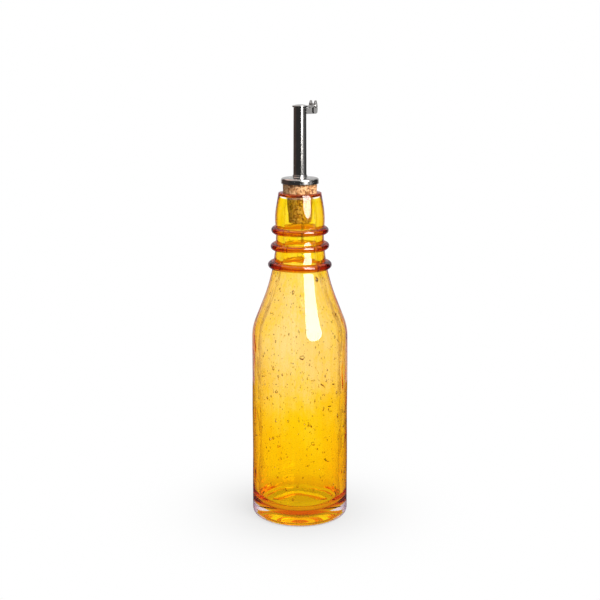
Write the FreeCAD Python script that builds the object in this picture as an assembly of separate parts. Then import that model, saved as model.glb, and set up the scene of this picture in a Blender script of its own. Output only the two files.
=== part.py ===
"""Hand-blown glass oil bottle with a cork pourer whose spout is shut by a hinged, weighted flap.

Units are millimetres. The origin is the centre of the bottle's foot, on the surface it stands
on, and +Z is up. The flap's hinge is on the +X side of the spout, and its pin runs along Y.
"""
import FreeCAD, Part
import math
import os

Vector = FreeCAD.Vector
ORIGIN = Vector(0, 0, 0)
UP = Vector(0, 0, 1)

# --- Glass: outside ---
BODY_BASE_RADIUS = 32.75
BODY_TAPER = 0.5             # how much narrower the body is where it turns in to the shoulder
BODY_HEIGHT = 132.0          # up to that corner
SHOULDER_HEIGHT = 38.0       # from that corner to the one where shoulder becomes neck
NECK_HEIGHT = 52.8           # from there to the lip
NECK_FOOT_RADIUS = 17.3
WAIST_RISE = 24.0            # narrowest place of the neck, above the neck's foot
WAIST_RADIUS = 15.8
BULGE_DROP = 14.8            # the neck swells again here, below the lip
BULGE_RADIUS = 16.7

FOOT_ROUND = 3.2
SHOULDER_ROUND = 35.0
NECK_SWEEP = 125.0
NECK_ROUND = 50.0
LIP_ROUND = 2.5

# --- Glass: inside ---
WALL = 4.1                   # of the body
NECK_FOOT_WALL = 4.7
NECK_WALL = 5.5
FLOOR_THICKNESS = 9.0
FLOOR_ROUND = 9.0
THROAT_FIT = 0.7             # between the plug of the cork and the throat
THROAT_HEIGHT = 2.6          # straight stretch under the seat of the cork
THROAT_ROUND = 6.0
LIP_WIDTH = 3.1              # from the seat of the cork out to the neck's edge
LIP_FLARE = 0.4
FOOT_WIDTH = 7.75            # ring of glass between the wall's outside and the hollow under it
KICK_FLAT_RADIUS = 13.75     # middle of that hollow
KICK_HEIGHT = 2.0
KICK_ROUND = 26.0
HEEL_ROUND = 1.5

# --- Threads of glass laid round the neck: how far below the lip, how far proud, how thick ---
RINGS = ((24.9, 3.0, 4.4), (35.6, 3.25, 4.4), (48.2, 3.4, 5.0))

# --- Pourer: spout, vent and collar ---
TUBE_RADIUS = 4.45
TUBE_TAPER = 0.2             # how much narrower the spout is at its end
TUBE_WALL = 0.6
TUBE_LENGTH = 75.6
TUBE_BELOW_CORK = 0.5
TUBE_EDGE = 0.2
VENT_RADIUS = 1.0
VENT_WALL = 0.3
VENT_GAP = 0.55              # cork between the spout and the vent
VENT_DROP = 14.3             # how far the vent hangs below the cork
VENT_ANGLE = 36.5            # degrees round from the hinge
COLLAR_THICKNESS = 3.7
COLLAR_OVERHANG = 1.15       # past the head of the cork
COLLAR_ROUND = 1.5
COLLAR_EDGE = 0.4
COLLAR_DOME = 0.7
BRAZE_WIDTH = 0.4
BRAZE_HEIGHT = 1.3

# --- Cork ---
CORK_WALL = 0.5              # between the vent and the low end of the plug
CORK_TAPER = 1.3             # how much wider the plug is at its top
CORK_SHOULDER = 2.3          # from there out to the low end of the head
CORK_FLARE = 0.3             # of the head, on its way up
CORK_HEAD_HEIGHT = 6.7       # from under the collar to the seat on the lip
CORK_SINK = 0.7              # how far the head sits below the top of the lip
CORK_SEAT_HEIGHT = 2.0
CORK_LENGTH = 25.5
CORK_EDGE = 0.5

# --- Flap, its pin and its bracket ---
PIN_OUT = 6.25               # centre of the pin, out from the end of the spout
PIN_RISE = 0.5               # and above it
PIN_RADIUS = 0.6
PIN_FIT = 0.02               # radial clearance in the bracket, which grips the pin
HINGE_FIT = 0.05             # radial clearance in the flap, which turns on it
SIDE_FIT = 0.15              # between bracket and ears
HEAD_LIP = 0.4               # of each head, past the pin's own radius
HEAD_HEIGHT = 0.55
HEAD_FIT = 0.08

LID_OVERHANG = 0.85          # past the end of the spout
LID_FIT = 0.1                # above it
LID_RIM = 0.9
LID_EDGE = 0.3
LID_DOME = 0.8
LID_FLAT_RADIUS = 2.3
LID_DOME_ROUND = 10.0

BRACKET_WIDTH = 4.1
BRACKET_SHEET = 0.7
BRACKET_DROP = 4.9           # bottom of the bracket, below the pin
ARM_DROP = 0.9               # top of its arm, below the pin
LUG_WALL = 0.35              # round the pin

EAR_THICKNESS = 0.8
EAR_RISE = 3.8               # narrow end, above the pin
EAR_DROP = 4.9               # wide end, below the pin
EAR_TIP_OFFSET = 0.2         # how far the narrow end stands out from over the pin
EAR_TIP_RADIUS = 0.7
EAR_END_RADIUS = 1.5
EAR_BULGE = 0.4              # of each long side, beyond a straight line
EAR_HOLE_RADIUS = 0.45
EAR_HOLE_RISE = 2.4          # above the pin
TONGUE_GAP = 1.1             # the tongue stops this far short of the pin
STOP_RISE = 0.1              # between the lug's top and the plate that stops the flap
STOP_THICKNESS = 0.6
STOP_REACH = 1.2             # how far the plate reaches past the pin

CUT_MARGIN = 1.0             # how far a cut runs past what it cuts
ARC_SHARE = 0.98             # of a straight run that the arcs at its ends may use
TINY = 1e-6

# --- Sizes that follow ---
BODY_TOP_RADIUS = BODY_BASE_RADIUS - BODY_TAPER
KICK_RADIUS = BODY_BASE_RADIUS - FOOT_WIDTH
NECK_FOOT_HEIGHT = BODY_HEIGHT + SHOULDER_HEIGHT
GLASS_HEIGHT = NECK_FOOT_HEIGHT + NECK_HEIGHT

VENT_OFFSET = TUBE_RADIUS + VENT_GAP + VENT_RADIUS
CORK_PLUG_LOW_RADIUS = VENT_OFFSET + VENT_RADIUS + CORK_WALL
CORK_PLUG_RADIUS = CORK_PLUG_LOW_RADIUS + CORK_TAPER
CORK_HEAD_LOW_RADIUS = CORK_PLUG_RADIUS + CORK_SHOULDER
CORK_HEAD_RADIUS = CORK_HEAD_LOW_RADIUS + CORK_FLARE
CORK_SEAT_TOP = GLASS_HEIGHT - CORK_SINK
CORK_SEAT_LOW = CORK_SEAT_TOP - CORK_SEAT_HEIGHT
CORK_TOP = CORK_SEAT_TOP + CORK_HEAD_HEIGHT
CORK_BOTTOM = CORK_TOP - CORK_LENGTH
THROAT_RADIUS = CORK_PLUG_RADIUS + THROAT_FIT
LIP_RADIUS = CORK_HEAD_LOW_RADIUS + LIP_WIDTH

COLLAR_RADIUS = CORK_HEAD_RADIUS + COLLAR_OVERHANG
COLLAR_TOP = CORK_TOP + COLLAR_THICKNESS
BRAZE_RADIUS = TUBE_RADIUS + BRAZE_WIDTH
BRAZE_TOP = COLLAR_TOP + COLLAR_DOME + BRAZE_HEIGHT
TUBE_BOTTOM = CORK_BOTTOM - TUBE_BELOW_CORK
TUBE_TOP = TUBE_BOTTOM + TUBE_LENGTH
TUBE_TOP_RADIUS = TUBE_RADIUS - TUBE_TAPER

PIN = Vector(TUBE_TOP_RADIUS + PIN_OUT, 0, TUBE_TOP + PIN_RISE)
HEAD_RADIUS = PIN_RADIUS + HEAD_LIP
LUG_RADIUS = PIN_RADIUS + LUG_WALL
LID_RADIUS = TUBE_TOP_RADIUS + LID_OVERHANG
LID_BOTTOM = TUBE_TOP + LID_FIT
EAR_INSIDE = BRACKET_WIDTH / 2 + SIDE_FIT
EAR_OUTSIDE = EAR_INSIDE + EAR_THICKNESS


def point(radius, height):
    """A point of a half outline, in the XZ plane."""
    return Vector(radius, 0, height)


def rounded_path(corners):
    """Edges through corners given as (radius, height, rounding radius).

    Each inner corner becomes a tangent arc. Where two arcs would need more than the run
    between them, both give way in proportion.
    """
    points = [point(r, z) for r, z, _ in corners]
    runs = [b - a for a, b in zip(points, points[1:])]
    cuts = [0.0] * len(points)
    for i in range(1, len(points) - 1):
        half_turn = runs[i - 1].getAngle(runs[i]) / 2
        cuts[i] = corners[i][2] * math.tan(half_turn)
    shares = [min(1.0, ARC_SHARE * run.Length / max(cuts[i] + cuts[i + 1], TINY))
              for i, run in enumerate(runs)]
    edges = []
    start = points[0]
    for i in range(1, len(points) - 1):
        cut = cuts[i] * min(shares[i - 1], shares[i])
        if cut < TINY:
            edges.append(Part.LineSegment(start, points[i]).toShape())
            start = points[i]
            continue
        before, after = runs[i - 1], runs[i]
        first = points[i] - before * (cut / before.Length)
        last = points[i] + after * (cut / after.Length)
        inward = (first + last) * 0.5 - points[i]
        depth = cut * math.tan(before.getAngle(after) / 4)
        middle = points[i] + inward * (depth / inward.Length)
        edges.append(Part.LineSegment(start, first).toShape())
        edges.append(Part.Arc(first, middle, last).toShape())
        start = last
    edges.append(Part.LineSegment(start, points[-1]).toShape())
    return edges


def turned(corners):
    """Solid of revolution about Z of the outline through corners, closed from last to first."""
    edges = rounded_path(corners)
    first, last = corners[0], corners[-1]
    edges.append(Part.LineSegment(point(*last[:2]), point(*first[:2])).toShape())
    face = Part.Face(Part.Wire(edges))
    return face.revolve(ORIGIN, UP, 360)


def rod(radius, bottom, top, x=0.0, y=0.0):
    """Upright cylinder between two heights."""
    return Part.makeCylinder(radius, top - bottom, Vector(x, y, bottom), UP)


def block(low, high):
    """Box between two opposite corners."""
    size = high - low
    return Part.makeBox(size.x, size.y, size.z, low)


def cross_rod(radius, reach, centre):
    """Cylinder along Y that reaches the same way to both sides of a centre."""
    return Part.makeCylinder(radius, 2 * reach, centre - Vector(0, reach, 0), Vector(0, 1, 0))


# --- Glass ---
def outer_corners():
    """Outside of the glass, from the heel of the foot to the outer edge of the lip."""
    return [
        (BODY_BASE_RADIUS, 0, FOOT_ROUND),
        (BODY_TOP_RADIUS, BODY_HEIGHT, SHOULDER_ROUND),
        (NECK_FOOT_RADIUS, NECK_FOOT_HEIGHT, NECK_SWEEP),
        (WAIST_RADIUS, NECK_FOOT_HEIGHT + WAIST_RISE, NECK_ROUND),
        (BULGE_RADIUS, GLASS_HEIGHT - BULGE_DROP, NECK_ROUND),
        (LIP_RADIUS, GLASS_HEIGHT, LIP_ROUND),
    ]


def inside_of(corners, walls):
    """The corners between the first and the last, each moved in by the wall there."""
    moved = []
    points = [point(r, z) for r, z, _ in corners]
    for i in range(1, len(points) - 1):
        before = (points[i] - points[i - 1]).normalize()
        after = (points[i + 1] - points[i]).normalize()
        outward = Vector(before.z + after.z, 0, -before.x - after.x)
        wall = walls[i - 1]
        place = points[i] - outward * (2 * wall / outward.dot(outward))
        swells = before.cross(after).y < 0
        rounding = corners[i][2] - wall if swells else corners[i][2] + wall
        moved.append((place.x, place.z, rounding))
    return moved


def inner_corners():
    """Inside of the glass, from the seat of the cork down to the middle of the floor."""
    throat_low = CORK_SEAT_LOW - THROAT_HEIGHT
    seat = [
        (CORK_HEAD_LOW_RADIUS + LIP_FLARE, GLASS_HEIGHT, CORK_EDGE),
        (CORK_HEAD_LOW_RADIUS, CORK_SEAT_TOP, CORK_EDGE),
        (THROAT_RADIUS, CORK_SEAT_LOW, CORK_EDGE),
        (THROAT_RADIUS, throat_low, THROAT_ROUND),
    ]
    floor = [
        (BODY_BASE_RADIUS - WALL, FLOOR_THICKNESS, FLOOR_ROUND),
        (0, FLOOR_THICKNESS, 0),
    ]
    walls = [WALL, NECK_FOOT_WALL, NECK_WALL, NECK_WALL]
    return seat + inside_of(outer_corners(), walls)[::-1] + floor


def glass_bottle():
    """One blown wall, open at the lip, with a thick floor and a shallow hollow under the foot."""
    under_foot = [
        (0, KICK_HEIGHT, 0),
        (KICK_FLAT_RADIUS, KICK_HEIGHT, KICK_ROUND),
        (KICK_RADIUS, 0, HEEL_ROUND),
    ]
    return turned(under_foot + outer_corners() + inner_corners())


def outer_radius(height):
    """Radius of the glass's outside at a height."""
    outline = Part.Wire(rounded_path(outer_corners()))
    level = Part.makeLine(point(0, height), point(2 * BODY_BASE_RADIUS, height))
    on_outline, _ = outline.distToShape(level)[1][0]
    return on_outline.x


def neck_rings():
    """Round threads of glass, each cut to the neck it is laid on."""
    filled = turned([(0, 0, 0)] + outer_corners() + [(0, GLASS_HEIGHT, 0)])
    rings = []
    for drop, proud, thickness in RINGS:
        height = GLASS_HEIGHT - drop
        half = thickness / 2
        middle = outer_radius(height) + proud - half
        thread = Part.makeTorus(middle, half, Vector(0, 0, height), UP)
        rings.append(thread.cut(filled))
    return rings


# --- Cork and pourer ---
def vent_place():
    """X and Y of the vent tube."""
    angle = math.radians(VENT_ANGLE)
    return VENT_OFFSET * math.cos(angle), VENT_OFFSET * math.sin(angle)


def cork():
    """Stopper with a wide head seated in the lip and a tapered plug, bored for both tubes."""
    body = turned([
        (TUBE_RADIUS, CORK_BOTTOM, 0),
        (CORK_PLUG_LOW_RADIUS, CORK_BOTTOM, CORK_EDGE),
        (CORK_PLUG_RADIUS, CORK_SEAT_LOW, CORK_EDGE),
        (CORK_HEAD_LOW_RADIUS, CORK_SEAT_TOP, CORK_EDGE),
        (CORK_HEAD_RADIUS, CORK_TOP, CORK_EDGE),
        (TUBE_RADIUS, CORK_TOP, 0),
    ])
    bottom, top = CORK_BOTTOM - CUT_MARGIN, CORK_TOP + CUT_MARGIN
    return body.cut(rod(VENT_RADIUS, bottom, top, *vent_place()))


def pourer_collar():
    """Domed disc over the cork, with a bead of braze where the spout passes through."""
    body = turned([
        (TUBE_RADIUS, CORK_TOP, 0),
        (COLLAR_RADIUS, CORK_TOP, COLLAR_EDGE),
        (COLLAR_RADIUS, COLLAR_TOP, COLLAR_ROUND),
        (BRAZE_RADIUS, COLLAR_TOP + COLLAR_DOME, COLLAR_EDGE),
        (BRAZE_RADIUS, BRAZE_TOP, TUBE_EDGE),
        (TUBE_RADIUS, BRAZE_TOP, 0),
    ])
    bottom, top = CORK_TOP - CUT_MARGIN, BRAZE_TOP + CUT_MARGIN
    return body.cut(rod(VENT_RADIUS, bottom, top, *vent_place()))


def pour_tube():
    """Open spout, straight through the cork and tapered from the collar to the flap."""
    bore, top_bore = TUBE_RADIUS - TUBE_WALL, TUBE_TOP_RADIUS - TUBE_WALL
    return turned([
        (bore, TUBE_BOTTOM, 0),
        (TUBE_RADIUS, TUBE_BOTTOM, TUBE_EDGE),
        (TUBE_RADIUS, BRAZE_TOP, 0),
        (TUBE_TOP_RADIUS, TUBE_TOP, TUBE_EDGE),
        (top_bore, TUBE_TOP, 0),
        (bore, BRAZE_TOP, 0),
    ])


def vent_tube():
    """Thin tube that lets air in beside the spout, from the collar to inside the neck."""
    x, y = vent_place()
    bottom = CORK_BOTTOM - VENT_DROP
    bore = rod(VENT_RADIUS - VENT_WALL, bottom - CUT_MARGIN, COLLAR_TOP + CUT_MARGIN, x, y)
    return rod(VENT_RADIUS, bottom, COLLAR_TOP, x, y).cut(bore)


# --- Hinge and flap ---
def side_plate(corners, y_low, y_high):
    """Extrusion along Y of a straight-edged outline given as offsets from the pin."""
    points = [PIN + Vector(x, 0, z) for x, z in corners]
    face = Part.Face(Part.makePolygon(points + points[:1]))
    face.translate(Vector(0, y_low, 0))
    return face.extrude(Vector(0, y_high - y_low, 0))


def filled_tube():
    """The spout's outside as a solid, for what is seated on it."""
    return turned([
        (0, TUBE_BOTTOM, 0),
        (TUBE_RADIUS, TUBE_BOTTOM, 0),
        (TUBE_RADIUS, BRAZE_TOP, 0),
        (TUBE_TOP_RADIUS, TUBE_TOP, 0),
        (0, TUBE_TOP, 0),
    ])


def hinge_bracket():
    """Folded channel brazed to the spout: an arm under the flap and a lug up to the pin."""
    half = BRACKET_WIDTH / 2
    web = half - BRACKET_SHEET
    outline = [
        (-PIN.x, -BRACKET_DROP), (LUG_RADIUS, -BRACKET_DROP), (LUG_RADIUS, 0),
        (-LUG_RADIUS, 0), (-LUG_RADIUS, -ARM_DROP), (-PIN.x, -ARM_DROP),
    ]
    body = side_plate(outline, -half, half).fuse(cross_rod(LUG_RADIUS, half, PIN))
    beyond = LUG_RADIUS + CUT_MARGIN
    channel_low = Vector(-CUT_MARGIN, -web, PIN.z - BRACKET_DROP + BRACKET_SHEET)
    channel_high = PIN + Vector(beyond, web, beyond)
    body = body.cut(block(channel_low, channel_high))
    body = body.cut(cross_rod(PIN_RADIUS + PIN_FIT, half + CUT_MARGIN, PIN))
    return body.cut(filled_tube()).removeSplitter()


def hinge_pin():
    """Rivet through the bracket and both ears, with a domed head at each end."""
    shoulder = EAR_OUTSIDE + HEAD_FIT
    end = shoulder + HEAD_HEIGHT
    pin = turned([
        (0, -end, 0),
        (HEAD_RADIUS, -end, HEAD_HEIGHT),
        (HEAD_RADIUS, -shoulder, 0),
        (PIN_RADIUS, -shoulder, 0),
        (PIN_RADIUS, shoulder, 0),
        (HEAD_RADIUS, shoulder, 0),
        (HEAD_RADIUS, end, HEAD_HEIGHT),
        (0, end, 0),
    ])
    pin.rotate(ORIGIN, Vector(1, 0, 0), 90)
    pin.translate(PIN)
    return pin


def arc_through(start, end, bulge):
    """Arc in the XZ plane that stands out by bulge, on the right of the way from start to end."""
    chord = end - start
    outward = Vector(chord.z, 0, -chord.x) * (bulge / chord.Length)
    return Part.Arc(start, (start + end) * 0.5 + outward, end).toShape()


def ear(y_low):
    """Leaf-shaped plate, round at both ends and narrower at the top, where it is pierced."""
    tip = PIN + Vector(EAR_TIP_OFFSET, 0, EAR_RISE - EAR_TIP_RADIUS)
    end = PIN + Vector(0, 0, EAR_END_RADIUS - EAR_DROP)
    tip_out, end_out = Vector(EAR_TIP_RADIUS, 0, 0), Vector(EAR_END_RADIUS, 0, 0)
    outline = Part.Wire([
        arc_through(end - end_out, end + end_out, EAR_END_RADIUS),
        arc_through(end + end_out, tip + tip_out, EAR_BULGE),
        arc_through(tip + tip_out, tip - tip_out, EAR_TIP_RADIUS),
        arc_through(tip - tip_out, end - end_out, EAR_BULGE),
    ])
    face = Part.Face(outline)
    face.translate(Vector(0, y_low, 0))
    return face.extrude(Vector(0, EAR_THICKNESS, 0))


def lid():
    """Small disc with a low dome, which shuts the end of the spout."""
    top = LID_BOTTOM + LID_RIM
    return turned([
        (0, LID_BOTTOM, 0),
        (LID_RADIUS, LID_BOTTOM, LID_EDGE),
        (LID_RADIUS, top, LID_EDGE),
        (LID_FLAT_RADIUS, top + LID_DOME, LID_DOME_ROUND),
        (0, top + LID_DOME, 0),
    ])


def flap():
    """Lid, tongue and ears in one piece. The plate between the ears stops it at upright."""
    tongue = block(Vector(0, -EAR_OUTSIDE, LID_BOTTOM),
                   Vector(PIN.x - TONGUE_GAP, EAR_OUTSIDE, LID_BOTTOM + LID_RIM))
    stop_bottom = PIN.z + LUG_RADIUS + STOP_RISE
    stop = block(Vector(PIN.x - LUG_RADIUS, -EAR_OUTSIDE, stop_bottom),
                 Vector(PIN.x + STOP_REACH, EAR_OUTSIDE, stop_bottom + STOP_THICKNESS))
    body = lid().fuse([tongue, stop, ear(-EAR_OUTSIDE), ear(EAR_INSIDE)])
    reach = EAR_OUTSIDE + CUT_MARGIN
    hole = PIN + Vector(EAR_TIP_OFFSET, 0, EAR_HOLE_RISE)
    body = body.cut(cross_rod(PIN_RADIUS + HINGE_FIT, reach, PIN))
    return body.cut(cross_rod(EAR_HOLE_RADIUS, reach, hole)).removeSplitter()


def main():
    """Build every piece and write it as STEP."""
    pieces = {
        "glass_bottle": glass_bottle(),
        "cork": cork(),
        "pourer_collar": pourer_collar(),
        "pour_tube": pour_tube(),
        "vent_tube": vent_tube(),
        "hinge_bracket": hinge_bracket(),
        "hinge_pin": hinge_pin(),
        "flap": flap(),
    }
    for number, ring in enumerate(neck_rings(), 1):
        pieces[f"neck_ring_{number}"] = ring
    os.makedirs("parts", exist_ok=True)
    for name, shape in pieces.items():
        shape.exportStep(f"parts/{name}.step")
        print(f"{name}: valid {shape.isValid()}, solids {len(shape.Solids)}, "
              f"volume {shape.Volume:.1f} mm3")


main()
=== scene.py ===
"""Hand-blown oil bottle with a cork pourer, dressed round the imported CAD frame.

The glass is one clear shell with the threads fused round its neck. Inside its wall lie a layer of
amber glass, which gives the colour, and small air bubbles, and inside each thread lies a core of
deeper colour. The cork and the steel pourer are the CAD pieces themselves, with their finishes.

Outlines are given in millimetres, as on a drawing. Meshes and shaders are in metres.
"""
from __future__ import annotations

import logging
import math
from dataclasses import dataclass
from enum import Enum
from typing import Any, Callable, Sequence

import bmesh
import bpy
import numpy as np
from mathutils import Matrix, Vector


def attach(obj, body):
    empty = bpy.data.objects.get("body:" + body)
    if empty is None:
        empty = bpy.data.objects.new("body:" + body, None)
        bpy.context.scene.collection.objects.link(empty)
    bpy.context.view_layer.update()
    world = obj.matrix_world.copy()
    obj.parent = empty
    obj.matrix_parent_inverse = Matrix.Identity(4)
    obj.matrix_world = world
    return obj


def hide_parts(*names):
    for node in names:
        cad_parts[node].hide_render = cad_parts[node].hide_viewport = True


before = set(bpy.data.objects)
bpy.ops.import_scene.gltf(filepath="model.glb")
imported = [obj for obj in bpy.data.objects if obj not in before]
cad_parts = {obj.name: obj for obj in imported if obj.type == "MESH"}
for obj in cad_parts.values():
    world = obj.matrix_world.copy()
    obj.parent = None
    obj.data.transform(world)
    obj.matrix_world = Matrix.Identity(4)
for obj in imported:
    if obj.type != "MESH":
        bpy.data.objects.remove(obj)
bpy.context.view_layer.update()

LOG = logging.getLogger("oil_bottle")
MM = 0.001

Array = np.ndarray
Moved = tuple[Array, Array]
Warp = Callable[[Array, Array, Array], Moved]
Triple = tuple[float, float, float]
Pair = tuple[float, float]
Corner = Triple
Colour = Triple
Piece = bpy.types.Object
Material = bpy.types.Material

WHITE: Colour = (1.0, 1.0, 1.0)


# ---- shader expressions
def arithmetic(operation: str, last: bool = False) -> Callable[..., Sock]:
    """An operator that goes through a Math node.

    Args:
        operation: the node's operation.
        last: whether the socket that has the operator comes last.

    Returns:
        The operator as a method.
    """
    def method(self: Sock, *others: Any) -> Sock:
        """The Math node's output."""
        return self.tree.maths(operation, *((*others, self) if last else (self, *others)))

    return method


class Sock:
    """A node's output, with the arithmetic that shader expressions need."""

    __add__ = __radd__ = arithmetic("ADD")
    __sub__ = arithmetic("SUBTRACT")
    __rsub__ = arithmetic("SUBTRACT", last=True)
    __mul__ = arithmetic("MULTIPLY")
    __truediv__ = arithmetic("DIVIDE")
    __pow__ = arithmetic("POWER")
    __abs__ = arithmetic("ABSOLUTE")

    def __init__(self, tree: Tree, socket: bpy.types.NodeSocket) -> None:
        """Args: tree: the tree it belongs to. socket: the output it stands for."""
        self.tree = tree
        self.socket = socket

    def smooth(self, low: float, high: float) -> Sock:
        """0 at low, 1 at high, and smooth between. High may be the smaller."""
        node = self.tree.node("ShaderNodeMapRange", {"interpolation_type": "SMOOTHSTEP"},
                              {"Value": self, "From Min": low, "From Max": high})
        return Sock(self.tree, node.outputs["Result"])


class Tree:
    """A node tree that is written as expressions."""

    def __init__(self, owner: Material | bpy.types.World) -> None:
        """Args: owner: the material or world whose nodes are made afresh."""
        owner.use_nodes = True
        self.nodes = owner.node_tree.nodes
        self.links = owner.node_tree.links
        self.nodes.clear()

    def node(self, kind: str, settings: dict[str, Any] | None = None,
             inputs: dict[str | int, Any] | None = None) -> bpy.types.Node:
        """Any node.

        Args:
            kind: the node's type.
            settings: its properties, set first.
            inputs: values or sockets, by the input's name or number.

        Returns:
            The node.
        """
        made = self.nodes.new(kind)
        for name, value in (settings or {}).items():
            setattr(made, name, value)
        for name, value in (inputs or {}).items():
            self._feed(made.inputs[name], value)
        return made

    def _feed(self, target: bpy.types.NodeSocket, value: Any) -> None:
        """Links or sets one input."""
        if isinstance(value, Sock):
            self.links.new(value.socket, target)
        elif isinstance(value, bpy.types.NodeSocket):
            self.links.new(value, target)
        elif target.type == "RGBA" and len(value) == 3:
            target.default_value = (*value, 1.0)
        else:
            target.default_value = value

    def maths(self, operation: str, *values: Any) -> Sock:
        """A Math node's output."""
        made = self.node("ShaderNodeMath", {"operation": operation}, dict(enumerate(values)))
        return Sock(self, made.outputs[0])

    def vector(self, operation: str, *values: Any, output: str = "Vector") -> Sock:
        """A Vector Math node's output."""
        made = self.node("ShaderNodeVectorMath", {"operation": operation}, dict(enumerate(values)))
        return Sock(self, made.outputs[output])

    def scaled(self, vector: Any, amount: Any) -> Sock:
        """A vector or colour times a number."""
        made = self.node("ShaderNodeVectorMath", {"operation": "SCALE"},
                         {0: vector, "Scale": amount})
        return Sock(self, made.outputs["Vector"])

    def mix(self, factor: Any, first: Any, second: Any) -> Sock:
        """A mix of two colours."""
        made = self.node("ShaderNodeMix", {"data_type": "RGBA"}, {0: factor, 6: first, 7: second})
        return Sock(self, made.outputs[2])

    def path(self, name: str) -> Sock:
        """One of Light Path's outputs."""
        return Sock(self, self.node("ShaderNodeLightPath").outputs[name])

    def place(self) -> Sock:
        """Where a point of the surface is at rest, in metres."""
        return Sock(self, self.node("ShaderNodeTexCoord").outputs["Object"])

    def noise(self, vector: Any, scale: float, detail: float, rough: float) -> Sock:
        """Cloud noise between 0 and 1, about 0.5."""
        made = self.node("ShaderNodeTexNoise", None, {
            "Vector": vector, "Scale": scale, "Detail": detail, "Roughness": rough})
        return Sock(self, made.outputs["Fac"])

    def stretched(self, vector: Any, scales: Triple) -> Sock:
        """A place with each axis scaled, for grain that runs one way."""
        return self.vector("MULTIPLY", vector, scales)

    def cells(self, feature: str, vector: Any, scale: float) -> bpy.types.Node:
        """A field of cells."""
        return self.node("ShaderNodeTexVoronoi", {"feature": feature},
                         {"Vector": vector, "Scale": scale})

    def red(self, colour: bpy.types.NodeSocket) -> Sock:
        """A colour's first channel."""
        return Sock(self, self.node("ShaderNodeSeparateColor", None, {0: colour}).outputs[0])

    def ramp(self, value: Any, stops: Sequence[tuple[float, Colour]]) -> Sock:
        """A colour picked from (place, colour) stops."""
        made = self.node("ShaderNodeValToRGB", None, {"Fac": value})
        elements = made.color_ramp.elements
        while len(elements) < len(stops):
            elements.new(0.5)
        for element, (place, colour) in zip(elements, stops):
            element.position = place
            element.color = (*colour, 1.0)
        return Sock(self, made.outputs["Color"])

    def shader(self, kind: str, inputs: dict[str | int, Any]) -> Sock:
        """A shader node's output."""
        return Sock(self, self.node(kind, None, inputs).outputs[0])

    def clear(self, colour: Colour) -> Sock:
        """A face that light goes straight through, taking this colour."""
        return self.shader("ShaderNodeBsdfTransparent", {"Color": colour})

    def mix_shader(self, factor: Any, first: Sock, second: Sock) -> Sock:
        """A mix of two shaders."""
        return self.shader("ShaderNodeMixShader", {0: factor, 1: first, 2: second})

    def output(self, surface: Sock, volume: Sock | None = None, world: bool = False) -> None:
        """Ends the tree."""
        kind = "ShaderNodeOutputWorld" if world else "ShaderNodeOutputMaterial"
        ends = {"Surface": surface} if volume is None else {"Surface": surface, "Volume": volume}
        self.node(kind, None, ends)


def new_material(name: str) -> tuple[Material, Tree]:
    """An empty material and its tree."""
    material = bpy.data.materials.new(name)
    return material, Tree(material)


# ---- finishes
@dataclass(frozen=True)
class ClearGlass:
    """Blown soda glass: sharp, open to lamps, and with painted shade, a darker pinkish tint, where
    it is seen edge on.
    """

    name: str = "clear_glass"
    ior: float = 1.5
    # painted shade: the tint the glass takes where it is seen edge on, in place of the dark
    # surroundings seen at the rims
    edge: Colour = (0.70, 0.60, 0.68)
    painted_edge_shade_from: float = 0.50
    painted_edge_shade_full: float = 0.80
    shade: Colour = (0.80, 0.80, 0.80)

    def material(self) -> Material:
        """The finish as a material."""
        made, tree = new_material(self.name)
        glass = {"Color": WHITE, "Roughness": 0.0, "IOR": self.ior}
        # painted shade: the glass turns to the darker tint where its surface is seen edge on
        weight = tree.node("ShaderNodeLayerWeight", None, {"Blend": 0.5})
        painted_edge_shade = Sock(tree, weight.outputs["Facing"]).smooth(self.painted_edge_shade_from, self.painted_edge_shade_full)
        body = tree.mix_shader(painted_edge_shade, tree.shader("ShaderNodeBsdfGlass", glass),
                               tree.shader("ShaderNodeBsdfGlass", {**glass, "Color": self.edge}))
        tree.output(tree.mix_shader(tree.path("Is Shadow Ray"), body, tree.clear(self.shade)))
        return made


@dataclass(frozen=True)
class GlassColour:
    """Colour held in the depth of the glass. What it takes off is given for each metre.

    The density is a little more than the most taken, which keeps each kept share above 0.
    """

    name: str
    taken: Colour
    spare: float = 1.01

    def surface(self, tree: Tree) -> Sock:
        """Nothing is seen of the face between clear and coloured glass."""
        return tree.clear(WHITE)

    def material(self) -> Material:
        """The finish as a material."""
        made, tree = new_material(self.name)
        density = max(self.taken) * self.spare
        kept = tuple(1.0 - share / density for share in self.taken)
        depth = tree.shader("ShaderNodeVolumeAbsorption", {"Color": kept, "Density": density})
        tree.output(self.surface(tree), depth)
        return made


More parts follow.
